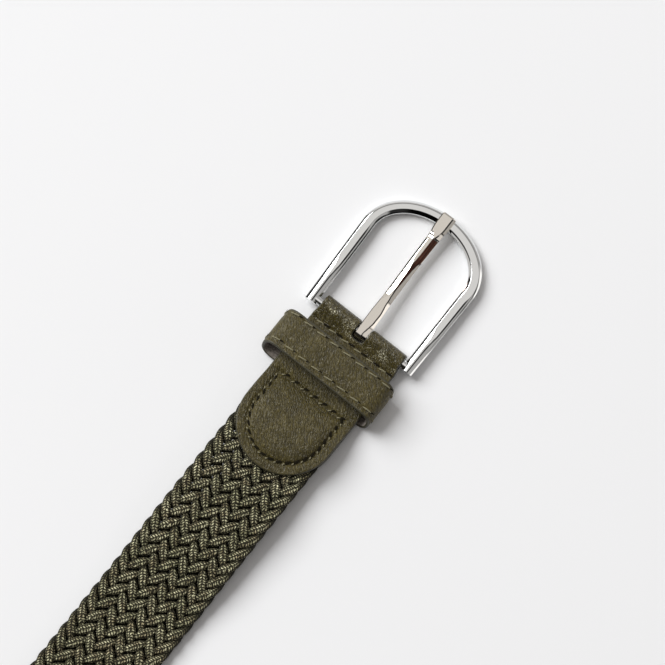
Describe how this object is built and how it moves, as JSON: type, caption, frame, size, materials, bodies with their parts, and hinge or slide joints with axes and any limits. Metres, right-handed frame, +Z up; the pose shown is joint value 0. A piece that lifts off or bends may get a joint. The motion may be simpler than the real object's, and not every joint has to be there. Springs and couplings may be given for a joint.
{
  "type": "braided elastic belt",
  "caption": "Flat braided elastic belt end with a folded leather tab, a leather keeper loop and a horseshoe prong buckle, lying flat.",
  "frame": {"origin": "on the surface that the belt rests on, under the middle of the keeper's lower strip", "axes": "+X along the belt towards the buckle's bow, +Y across the belt to the left seen from above, +Z up from the surface that it lies on"},
  "size_m": [0.2738, 0.0483, 0.0113],
  "materials": {
    "chrome": "polished bright plating with a cool tone",
    "nickel": "satin plating with a warm tone",
    "leather": "olive pebbled leather, slightly glossy on bends, painted edges",
    "elastic_cord": "knitted olive elastic cord with paler stitches, dark between the cords",
    "thread": "olive sewing thread"
  },
  "bodies": {
    "strap": {"leather_tab": "leather", "keeper_loop": "leather", "braided_strap": "elastic_cord", "end_tip": "leather"},
    "prong": {"prong": "nickel"},
    "buckle_frame": {"buckle_frame": "chrome"}
  },
  "joints": [
    {"name": "prong_pivot", "type": "hinge", "parent": "strap", "child": "prong", "pos_m": [0.0187, 0, 0.0034], "axis": [0, -1, 0], "range_deg": [-45, 85]},
    {"name": "frame_pivot", "type": "hinge", "parent": "prong", "child": "buckle_frame", "pos_m": [0.0187, 0, 0.0034], "axis": [0, -1, 0], "range_deg": [-90, 0]}
  ]
}
